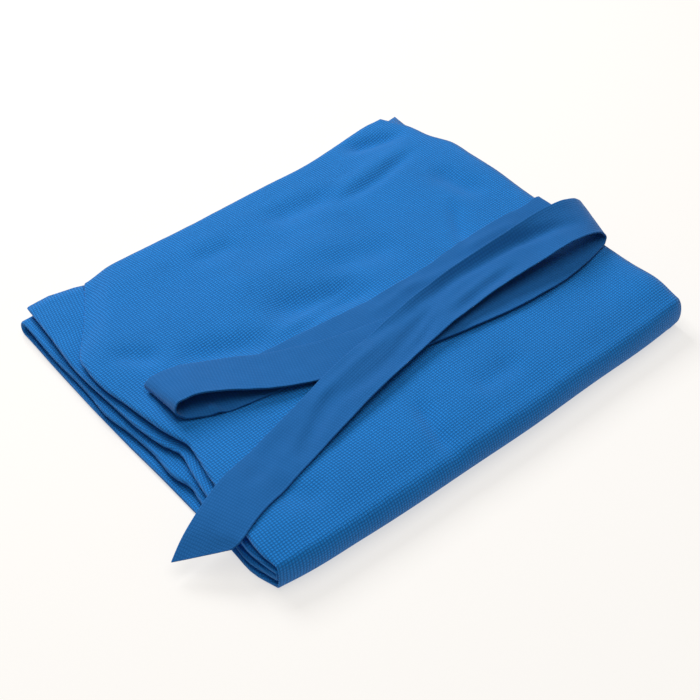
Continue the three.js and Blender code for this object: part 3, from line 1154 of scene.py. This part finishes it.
    def rows(self) -> Array:
        """All the rows of the panel, from the bottom hem to the neck edge."""
        made = [self.leaf_row(1, share) for share in np.linspace(1, 0, self.top_rows)]
        ply_1, ply_2, ply_3, ply_4 = (self.spine_depth(share) for share in self.spine_shares)
        made += self.turn_rows(1, 4, False, ply_1, ply_2, *self.spine_angles(falling=True))
        made += [self.leaf_row(4, share) for share in np.linspace(0, 1, self.leaf_rows)]
        angles = np.linspace(0, math.pi, self.back_fold_rows + 2)[1:-1]
        made += self.turn_rows(
            4, 3, True, lambda x: self.outer_back_bulge, lambda x: self.inner_back_bulge,
            angles, np.full(self.back_fold_rows, np.nan),
        )
        made += [self.leaf_row(3, share) for share in np.linspace(1, 0, self.leaf_rows)]
        made += self.turn_rows(3, 2, False, ply_4, ply_3, *self.spine_angles(falling=False))
        made += [self.leaf_row(2, share) for share in np.linspace(0, 1, self.leaf_rows + 4)]
        return np.array(made)

    def build(self, groups: ShaderGroups) -> bpy.types.Object:
        """Makes the panel, dresses it and joins it to the bodies that it crosses.

        Args:
            groups: The node groups that the materials share.

        Returns:
            The finished piece.
        """
        places = self.rows()
        count, columns = places.shape[:2]
        mesh, column, row = grid_mesh("cape_panel", columns, count)
        set_places(mesh, self.stack.place(places[row, column]))

        down = np.linalg.norm(np.diff(places[..., 1:], axis=0), axis=2)
        down = np.vstack([np.zeros(columns), np.cumsum(down, axis=0)])
        down -= down[self.top_rows] - down[self.top_rows, self.outer_columns // 2]
        over = np.linalg.norm(np.diff(places[..., ::2], axis=1), axis=2)
        over = np.column_stack([self.hem_line - places[:, 0, 0], over]).cumsum(axis=1)
        set_flat_map(mesh, np.column_stack([over[row, column], down[row, column]]) * MM)

        piece = add_object(mesh, self.finish.material(groups))
        hem = np.minimum(over - over[:, :1], over[:, -1:] - over)
        hem = np.minimum(hem, down - down[:1])[row, column]
        in_hem = hem < self.hem_width
        thicken(piece, self.hem_cloth, np.where(in_hem, 1.0, self.cloth / self.hem_cloth))
        hinge = self.stack.corner(0, self.stack.spine_y, self.stack.opening_z)
        rise = Vector((0, 0, self.hinge_half * MM))
        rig.blend(piece, "lower_half", "upper_half", start=hinge - rise, end=hinge + rise)
        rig.slot(piece, "cape_cloth")
        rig.replaces(
            piece,
            *(f"panel_leaf_{n}" for n in (1, 2, 3, 4)),
            *(f"spine_ply_{n}_{half}" for n in (1, 2, 3, 4) for half in ("lower", "upper")),
            "back_fold_outer_ply", "back_fold_inner_ply",
        )
        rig.sheet(piece, flat=self.flat_size, held="folded", rests_on=["floor"])
        return piece


# ------------------------------------------------------------------------------ ties

@dataclass(frozen=True)
class Station:
    """A place on the first tie's middle line.

    The rise is above a tie that lies flat on the top leaf, the lean turns the cross line from +Y
    towards +X in degrees, the tilt lifts the front edge and lowers the back edge, and the hollow
    sinks the middle of the strap below its edges.
    """

    x: float
    y: float
    rise: float
    lean: float = 0.0
    tilt: float = 0.0
    hollow: float = 0.0
    width: float = 36.0


@dataclass
class NeckTie:
    """The first tie: a two-ply strap that comes out over the side hems and lies in a Z on top.

    Its route runs from the exit through the bottom strand, the left loop, the middle strand and the
    right loop, which the stations loop_start and loop_top divide, to the slanted end. A crease's
    places are lengths along the route and places across the strap.
    """

    stack: Stack
    panel: CapePanel
    finish: ClothFinish
    thickness: float = 1.2
    half_width: float = 18.0
    flat_width: float = 37.5
    laid_z: float = 27.2
    strand_height: float = 3.4
    lifting_rise: float = 9.0
    least_room: float = 0.35
    step: float = 2.0
    short_strap: float = 90.0
    loop_start: int = 24
    loop_top: int = 30
    end_slant: int = 38
    route: tuple[Station, ...] = (
        Station(165, -22, -8.1), Station(178, -22, -8.1), Station(182, -22, -6.7),
        Station(183, -22, -4.05), Station(181.8, -22, -0.8), Station(178, -22, 0.1),
        Station(170, -23, 0), Station(130, -21, 0), Station(60, -26, 0), Station(0, -25, 0),
        Station(-50, -21, 0, 3), Station(-96, -17, 0, 7), Station(-122, -12, 0.2, 12),
        Station(-138, -5, 0.6, 12, 0.3), Station(-149.5, 1, 1.8, 5, 1.0),
        Station(-153.5, 3.5, 4.8, 1, 2.2), Station(-150.5, 4.5, 8.2, 4, 3.0),
        Station(-141, 3.5, 9.8, 12, 3.2), Station(-116, -6, 8.6, 21, 3.0),
        Station(-86, -21, 4.8, 23, 1.6), Station(-50, -35, 2.2, 16, 0.3),
        Station(0, -48, 2, 8), Station(50, -58, 2, 4), Station(105, -64.5, 1.8),
        Station(146, -63, 1.8, -1), Station(172, -58, 2.2, 5, -1.0), Station(181.5, -56, 3.2, 12, -2.2),
        Station(185, -54.5, 6.6, 15, -3.2), Station(181.5, -53.5, 11.6, 13, -3.2),
        Station(171, -53, 17, 9, -3.2, 1.2), Station(155, -52, 19.4, 4, -2.8, 3.6),
        Station(115, -50, 16.6, -1, -1.6, 5.6), Station(75, -48, 12.2, -4, -1.2, 4.8),
        Station(35, -50, 9, -7, -0.8, 2.2), Station(-5, -55.5, 6.0, -9, 0, 0.8),
        Station(-50, -64, 5, -11, 0, 0.4),
        Station(-90, -73.5, 2.6, -13, 0, -0.3), Station(-130, -83, 0.2, -14, 0, -0.4),
        Station(-168, -93, 0, -17, 0, -0.5), Station(-186.5, -99.5, -3.4, -25, 1.2, -0.2, 35.6),
        Station(-202, -104, -11, -53, 4.6, 0.4, 37.2),
    )

    creases: tuple[Crease, ...] = (
        Crease(((52, 6), (122, 11)), 4, 1.2), Crease(((98, -2), (180, 11)), 4, 1.1),
        Crease(((140, 13), (215, 3)), 3.5, 0.9), Crease(((331, -22), (338, -7)), 3, 1.8),
        Crease(((322, -22), (328, -7)), 3, -1.4), Crease(((630, 5), (710, -9)), 4, -1.0),
        Crease(((728, -8), (758, 1), (790, 9), (840, 11), (885, 10), (920, 15)), 4.6, -7.0),
        Crease(((852, 8), (890, 0), (925, -7), (955, -5), (995, 1)), 3.6, -6.0),
        Crease(((872, -4), (905, -12), (945, -14)), 3.2, -3.2),
        Crease(((790, -1), (880, -7)), 3.6, 1.9), Crease(((795, -9), (880, -14)), 3.2, -2.1),
        Crease(((895, 6), (940, 8), (1010, 10)), 4, 1.5), Crease(((895, 12), (938, 19)), 3, -1.6),
        Crease(((970, 4), (1000, -2), (1036, -12)), 4, -3.6),
        Crease(((1005, 10), (1075, 1)), 5, -1.2),
    )

    def __post_init__(self) -> None:
        """Runs smooth curves through the stations."""
        line = np.array([[s.x, s.y, s.rise] for s in self.route])
        length = np.concatenate([[0], np.cumsum(np.linalg.norm(np.diff(line, axis=0), axis=1))])
        self.length_at = length
        facts = [[s.x, s.y, s.rise, s.lean, s.tilt, s.hollow, s.width] for s in self.route]
        self.curve = Curve(length, facts)

    def section(self) -> Array:
        """The strap's cross section.

        The back edge is a pressed fold. At the front edge the two plies end side by side in a seam.

        Returns:
            Points round the loop, as a share of the half width and a share of the thickness each.
        """
        flat = np.linspace(-0.95, 0.95, 17)
        lower = [[w, -0.5] for w in flat]
        upper = [[w, 0.5] for w in flat[::-1]]
        fold = [[0.985, -0.42], [1.0, 0.0], [0.985, 0.42]]
        seam_top = [[-0.985, 0.56], [-1.0, 0.3]]
        seam_low = [[-1.0, -0.3], [-0.985, -0.56]]
        return np.array([[-0.962, 0.0], *seam_low, *lower, *fold, *upper, *seam_top])

    def folds(self, at: Array, half: Array, room: Array) -> Array:
        """How far the strap's creases and waves lift it off a flat cross section.

        Args:
            at: Lengths along the route.
            half: Places across the strap at each length, in millimetres.
            room: How deep a hollow may be at each length.

        Returns:
            The lift at each length and place across.
        """
        s, w = at[:, None], self.section()[:, 0]
        hollow = self.curve(at)[:, 5:6]
        dip = -hollow * (1 - np.abs(w) ** 1.6) * (1 + 0.35 * w)
        folds = dip + sum(crease.lift(s, half) for crease in self.creases)
        sunk = -room * (1 - np.exp(np.minimum(folds, 0) / room))
        wave = 0.16 * ripple(s, 9 * w, size=34, seed=51) + 0.10 * ripple(s, 16 * w, size=13, seed=52)
        edge_wave = 0.18 * np.sin(s / 9.0 + 2 * w) * np.abs(w) ** 3
        return np.where(folds < 0, sunk, folds) + wave + edge_wave

    def room_below(self, at: Array, x: Array, rise: Array) -> Array:
        """How deep a hollow may be before it meets the cloth under the strap.

        Args:
            at: Lengths along the route.
            x: The middle line's x there.
            rise: The middle line's rise there.

        Returns:
            The room at each length, as a column.
        """
        on_strands = self.strand_height * ease((x + 110) / 60)
        taken = np.where(at > self.length_at[self.loop_start], on_strands, 1.0)
        return np.maximum(rise - taken, self.least_room)[:, None]

    def places(self, at: Array) -> Array:
        """The strap's surface.

        Args:
            at: Lengths along its route.

        Returns:
            One row of points round the section for each length.
        """
        x, y, rise, lean, tilt, _, width = self.curve(at).T
        lean = np.radians(lean)
        across = unit(np.column_stack([np.sin(lean), np.cos(lean), -2 * tilt / width]))
        middle = np.column_stack([x, y, rise])
        along = unit(np.gradient(middle, at, axis=0))
        up = unit(np.cross(across, along))
        w, h = self.section().T
        half = width[:, None] / 2 * w
        normal = h * self.thickness + self.folds(at, half, self.room_below(at, x, rise))
        points = (
            middle[:, None, :]
            + across[:, None, :] * half[..., None]
            + up[:, None, :] * normal[..., None]
        )
        points[..., 2] += self.laid_z
        lying = np.exp(-np.maximum(rise[:, None], 0) / self.lifting_rise)
        on_leaf = ease((points[..., 0] + 178) / 16) * ease((186 - points[..., 0]) / 6)
        over = self.panel.top_height(points[..., 0], points[..., 1]) - self.panel.leaves[1].high
        points[..., 2] += over * lying * on_leaf
        return points

    def flat_lengths(self, at: Array) -> Array:
        """Lengths along the flat strap, which its slanting end shortens on one side.

        Args:
            at: Lengths along its route.

        Returns:
            The flat length of each point that places gives.
        """
        lean = self.curve(at)[:, 3]
        slant = np.radians(np.minimum(lean + 18, 0)) * (at > self.length_at[self.end_slant])
        across = self.half_width * self.section()[:, 0]
        return at[:, None] - across * np.sin(slant)[:, None]

    def tube(self, name: str, at: Array) -> bpy.types.Mesh:
        """Makes the strap's closed mesh, with its UV map.

        Args:
            name: The mesh's name.
            at: Lengths along the route, one for each ring of points.

        Returns:
            The mesh, in the parts' frame.
        """
        placed = self.stack.place(self.places(at))
        count, ring = placed.shape[:2]
        outline_mm = self.section() * [self.half_width, self.thickness]
        girth = np.linalg.norm(np.diff(outline_mm, axis=0, append=outline_mm[:1]), axis=1)
        round_it = np.concatenate([[0], np.cumsum(girth)])
        lengths = self.flat_lengths(at)
        bm = bmesh.new()
        bmesh.ops.create_grid(bm, x_segments=ring, y_segments=count - 1, size=1.0)
        layer = bm.loops.layers.uv.new("flat")
        spots = {}
        for vertex in bm.verts:
            column = round((vertex.co.x + 1) / 2 * ring)
            row = round((vertex.co.y + 1) / 2 * (count - 1))
            spots[vertex] = (column, row)
        for face in bm.faces:
            for loop in face.loops:
                column, row = spots[loop.vert]
                loop[layer].uv = (round_it[column] * MM, lengths[row, column % ring] * MM)
        for vertex, (column, row) in spots.items():
            vertex.co = placed[row, column % ring]
        bmesh.ops.remove_doubles(bm, verts=bm.verts[:], dist=1e-6)
        rims = [edge for edge in bm.edges if edge.is_boundary]
        bmesh.ops.holes_fill(bm, edges=rims, sides=0)
        for edge in rims:
            edge.smooth = False
        bmesh.ops.recalc_face_normals(bm, faces=bm.faces[:])
        mesh = bpy.data.meshes.new(name)
        bm.to_mesh(mesh)
        bm.free()
        return mesh

    def strap(self, name: str, first: int, last: int, groups: ShaderGroups,
              rests_on: Sequence[str]) -> bpy.types.Object:
        """Builds the strap between two stations as one closed piece.

        Args:
            name: The piece's name.
            first: The station that it starts at.
            last: The station that it ends at.
            groups: The node groups that the materials share.
            rests_on: What it lies on.

        Returns:
            The piece, declared as a sheet and not yet joined to a body.
        """
        start, end = self.length_at[first], self.length_at[last]
        count = max(12, int((end - start) / self.step))
        if end - start < self.short_strap:
            count *= 2
        mesh = self.tube(name, np.linspace(start, end, count))
        piece = add_object(mesh, self.finish.material(groups))
        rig.slot(piece, "tie_cloth")
        flat = (self.flat_width * MM, (end - start) * MM)
        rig.sheet(piece, flat=flat, held="folded", rests_on=rests_on)
        return piece

    def build(self, groups: ShaderGroups) -> list[bpy.types.Object]:
        """Builds the strap in three lengths, divided at the tops of its folds.

        Args:
            groups: The node groups that the materials share.

        Returns:
            The pieces, from the exit to the tail.
        """
        corner = self.stack.corner
        loop_start, loop_top, tip = self.loop_start, self.loop_top, len(self.route) - 1
        strands = self.strap("tie_strands", 0, loop_start, groups, ["cape_panel"])
        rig.blend(strands, "upper_half", "tie", start=corner(183, -22, 20.9), end=corner(183, -22, 24.6))
        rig.replaces(strands, "tie_1_end_wrap", "tie_1_bottom_strand", "tie_1_left_loop",
                    "tie_1_middle_strand")
        loop = self.strap("tie_right_loop", loop_start, loop_top, groups, ["cape_panel"])
        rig.blend(loop, "tie", "tie_tail", start=corner(183, -54, 30.0), end=corner(183, -54, 42.0))
        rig.replaces(loop, "tie_1_right_loop_lower", "tie_1_right_loop_upper")
        tail = self.strap("tie_tail_strap", loop_top, tip, groups, ["cape_panel", "tie_strands"])
        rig.ride(tail, "tie_tail")
        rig.replaces(tail, "tie_1_tail")
        return [strands, loop, tail]


@dataclass
class TuckedCloth:
    """What lies between leaf 2 and leaf 1: the neckband, the first tie's root and the second tie."""

    stack: Stack
    panel: CapePanel
    finish: ClothFinish
    tie_z: float = 19.3
    strap_width: float = 36.0
    strap_thickness: float = 1.2
    strap_inset: float = 0.3
    turn_inside: float = 4.0
    band_z: float = 15.3
    band_half: float = 2.15
    band_thickness: float = 0.6
    pucker_height: float = 0.18

    def finished(self, mesh: bpy.types.Mesh, places: Array, flat: Array, size: Point, node: str,
                 slot: str, thickness: float, groups: ShaderGroups) -> bpy.types.Object:
        """Turns a grid into a piece that rides with the upper half.

        Args:
            mesh: The grid.
            places: Its points in the stack's frame.
            flat: Its points on the flat cloth, in millimetres.
            size: The flat cloth's width and length, in millimetres.
            node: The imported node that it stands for.
            slot: The record's material slot.
            thickness: The cloth's thickness, in millimetres.
            groups: The node groups that the materials share.

        Returns:
            The finished piece.
        """
        set_places(mesh, self.stack.place(places))
        set_flat_map(mesh, flat * MM)
        piece = add_object(mesh, self.finish.material(groups))
        thicken(piece, thickness)
        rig.ride(piece, "upper_half")
        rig.replaces(piece, node)
        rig.slot(piece, slot)
        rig.sheet(piece, flat=(size[0] * MM, size[1] * MM), held="folded", rests_on=["cape_panel"])
        return piece

    def flat_strip(self, name: str, node: str, groups: ShaderGroups) -> bpy.types.Object:
        """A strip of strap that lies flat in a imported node's place.

        Args:
            name: The piece's name.
            node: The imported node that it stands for.
            groups: The node groups that the materials share.

        Returns:
            The finished piece.
        """
        x0, y0, x1, y1 = self.stack.box(node)
        columns, rows = 61, 13
        mesh, column, row = grid_mesh(name, columns, rows)
        x = mix(x0, x1, column / (columns - 1))
        y = mix(y0 + self.strap_inset, y1 - self.strap_inset, row / (rows - 1))
        z = self.panel.lifted(x, y, self.tie_z + 0.12 * ripple(x, y, size=30, seed=61))
        return self.finished(mesh, np.column_stack([x, y, z]), np.column_stack([y - y0, x - x0]),
                             (y1 - y0, x1 - x0), node, "tie_cloth", self.strap_thickness, groups)

    def root_run(self, groups: ShaderGroups) -> bpy.types.Object:
        """The first tie from the neckband's end, turned along the side hems to its exit.

        Args:
            groups: The node groups that the materials share.

        Returns:
            The finished piece.
        """
        x0, y0, x1, y1 = self.stack.box("tie_1_hidden_run")
        inside, outside = self.turn_inside, self.strap_width + 3.0
        centre = np.array([x1 - outside - 1.0, y1 - outside])
        columns, rows = 13, 81
        mesh, column, row = grid_mesh("tie_root_run", columns, rows)
        radius = mix(inside, outside, column / (columns - 1))
        along_x, along_y = centre[0] - x0, centre[1] - y0
        bend = math.pi / 2 * (inside + outside) / 2
        total = along_x + bend + along_y
        s = row / (rows - 1) * total
        turn = np.clip((s - along_x) / bend, 0, 1) * math.pi / 2
        x = centre[0] + radius * np.sin(turn) - np.maximum(along_x - s, 0)
        y = centre[1] + radius * np.cos(turn) - np.maximum(s - along_x - bend, 0)
        z = self.panel.lifted(x, y, self.tie_z + 0.12 * ripple(x, y, size=26, seed=62))
        return self.finished(mesh, np.column_stack([x, y, z]), np.column_stack([radius, s]),
                             (outside - inside, total), "tie_1_hidden_run", "tie_cloth",
                             self.strap_thickness, groups)

    def neckband(self, groups: ShaderGroups) -> bpy.types.Object:
        """The strip that is folded over the neck edge, open at the front and puckered at its seam.

        Args:
            groups: The node groups that the materials share.

        Returns:
            The finished piece.
        """
        x0, front, x1, back = self.stack.box("neckband")
        half = self.band_half
        straight = back - front - half
        bend = math.pi * half
        total = 2 * straight + bend
        columns, rows = 121, 41
        mesh, column, row = grid_mesh("neckband_strip", columns, rows)
        x = mix(x0, x1, column / (columns - 1))
        s = row / (rows - 1) * total
        turn = np.clip((s - straight) / bend, 0, 1) * math.pi
        y = front + np.minimum(s, straight) - np.maximum(s - straight - bend, 0) + half * np.sin(turn)
        pucker = self.pucker_height * np.sin(x / 1.9) * np.exp(-((y - front) / 9) ** 2)
        z = self.band_z - half * np.cos(turn) + pucker + 0.08 * ripple(x, y, size=24, seed=63)
        z = self.panel.lifted(x, y, np.maximum(z, self.stack.opening_z + 0.7))
        return self.finished(mesh, np.column_stack([x, y, z]), np.column_stack([s, x - x0]),
                             (total, x1 - x0), "neckband", "neckband_cloth", self.band_thickness,
                             groups)

    def build(self, groups: ShaderGroups) -> list[bpy.types.Object]:
        """Builds the neckband and the straps that are tucked inside."""
        made = [self.neckband(groups), self.root_run(groups)]
        for run in (1, 2, 3, 4):
            made.append(self.flat_strip(f"second_tie_run_{run}", f"tie_2_run_{run}", groups))
        return made


# ------------------------------------------------------------------------------ studio

@dataclass(frozen=True)
class Lamp:
    """A square soft lamp that faces the cape: metres and watts."""

    name: str
    place: tuple[float, float, float]
    size: float
    power: float
    colour: Colour

    def build(self) -> None:
        """Hangs the lamp."""
        data = bpy.data.lights.new(self.name, "AREA")
        data.size = self.size
        data.energy = self.power
        data.color = self.colour
        lamp = bpy.data.objects.new(self.name, data)
        lamp.location = self.place
        lamp.rotation_mode = "QUATERNION"
        lamp.rotation_quaternion = (-Vector(self.place)).to_track_quat("-Z", "Y")
        bpy.context.scene.collection.objects.link(lamp)


@dataclass(frozen=True)
class Studio:
    """The camera, a pale floor and soft light that comes mostly from behind."""

    camera_place: tuple[float, float, float] = (-0.4797, -0.5738, 0.7142)
    camera_forward: tuple[float, float, float] = (0.4682, 0.5461, -0.6947)
    lens: float = 77.14
    sensor_width: float = 36.0
    floor_size: float = 6.0
    floor_colour: Colour = (0.32, 0.315, 0.31)
    floor_glow: Colour = (1.0, 0.975, 0.94)
    floor_glow_strength: float = 0.64
    sky_colour: Colour = (1.0, 0.97, 0.93)
    sky_strength: float = 0.22
    lamps: tuple[Lamp, ...] = (
        Lamp("key_lamp", (0.1, 1.25, 1.2), 0.8, 25.0, (1.0, 0.99, 0.98)),
        Lamp("top_lamp", (0.0, -0.1, 1.9), 1.5, 18.0, (1.0, 0.98, 0.95)),
    )

    def build(self) -> None:
        """Makes the camera, the floor, the sky and the lamps."""
        scene = bpy.context.scene
        camera = bpy.data.objects.new("camera", bpy.data.cameras.new("camera"))
        camera.data.lens = self.lens
        camera.data.sensor_width = self.sensor_width
        camera.data.clip_end = 20.0
        camera.location = self.camera_place
        camera.rotation_mode = "QUATERNION"
        camera.rotation_quaternion = Vector(self.camera_forward).to_track_quat("-Z", "Y")
        scene.collection.objects.link(camera)
        scene.camera = camera
        self._floor()
        self._sky()
        scene.view_settings.view_transform = "Standard"
        for lamp in self.lamps:
            lamp.build()

    def _floor(self) -> None:
        """Lays a wide plain floor with a faint grain and a little light of its own."""
        bm = bmesh.new()
        bmesh.ops.create_grid(bm, x_segments=1, y_segments=1, size=self.floor_size)
        mesh = bpy.data.meshes.new("floor")
        bm.to_mesh(mesh)
        bm.free()
        made = bpy.data.materials.new("pale_floor")
        made.use_nodes = True
        nodes, links = made.node_tree.nodes, made.node_tree.links
        shader = nodes["Principled BSDF"]
        shader.inputs["Base Color"].default_value = (*self.floor_colour, 1.0)
        shader.inputs["Roughness"].default_value = 0.9
        shader.inputs["Specular IOR Level"].default_value = 0.1
        shader.inputs["Emission Color"].default_value = (*self.floor_glow, 1.0)
        shader.inputs["Emission Strength"].default_value = self.floor_glow_strength
        place = nodes.new("ShaderNodeTexCoord")
        grain = nodes.new("ShaderNodeTexNoise")
        grain.inputs["Scale"].default_value = 400.0
        bump = nodes.new("ShaderNodeBump")
        bump.inputs["Distance"].default_value = 0.05 * MM
        links.new(place.outputs["Object"], grain.inputs["Vector"])
        links.new(grain.outputs[0], bump.inputs["Height"])
        links.new(bump.outputs["Normal"], shader.inputs["Normal"])
        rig.stage(add_object(mesh, made))

    def _sky(self) -> None:
        """Gives an even, slightly warm light from all round."""
        world = bpy.data.worlds.new("studio")
        bpy.context.scene.world = world
        world.use_nodes = True
        sky = world.node_tree.nodes["Background"]
        sky.inputs["Color"].default_value = (*self.sky_colour, 1.0)
        sky.inputs["Strength"].default_value = self.sky_strength


# ------------------------------------------------------------------------------ the whole cape

def main() -> None:
    """Builds the studio and the cape, and writes the boxes of the parts and of the looks."""
    logging.basicConfig(level=logging.INFO, format="%(name)s: %(message)s")
    stack = Stack.from_frame()
    groups = ShaderGroups()
    Studio().build()
    panel = CapePanel(stack, ClothFinish("cape_cloth", Weave.PANEL))
    pieces = [panel.build(groups)]
    # The strap is the panel's cloth; its darker colour is partly its own tone and mostly painted shade of its folds
    # and wrinkles.
    strap_finish = ClothFinish(
        "tie_cloth", Weave.STRAP, light=(0.007, 0.126, 0.395), relief=0.00016, hole_shade_contrast=0.32
    )
    pieces += NeckTie(stack, panel, strap_finish).build(groups)
    pieces += TuckedCloth(stack, panel, strap_finish).build(groups)
    for piece in pieces:
        log.info("%s: %d faces", piece.name, len(piece.data.polygons))
    low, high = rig.bounds()
    boxes = {"cad": [list(cad_low), list(cad_high)], "visual": [list(low), list(high)]}
    with open("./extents.json", "w") as f:
        json.dump(boxes, f)


if __name__ == "__main__":
    main()
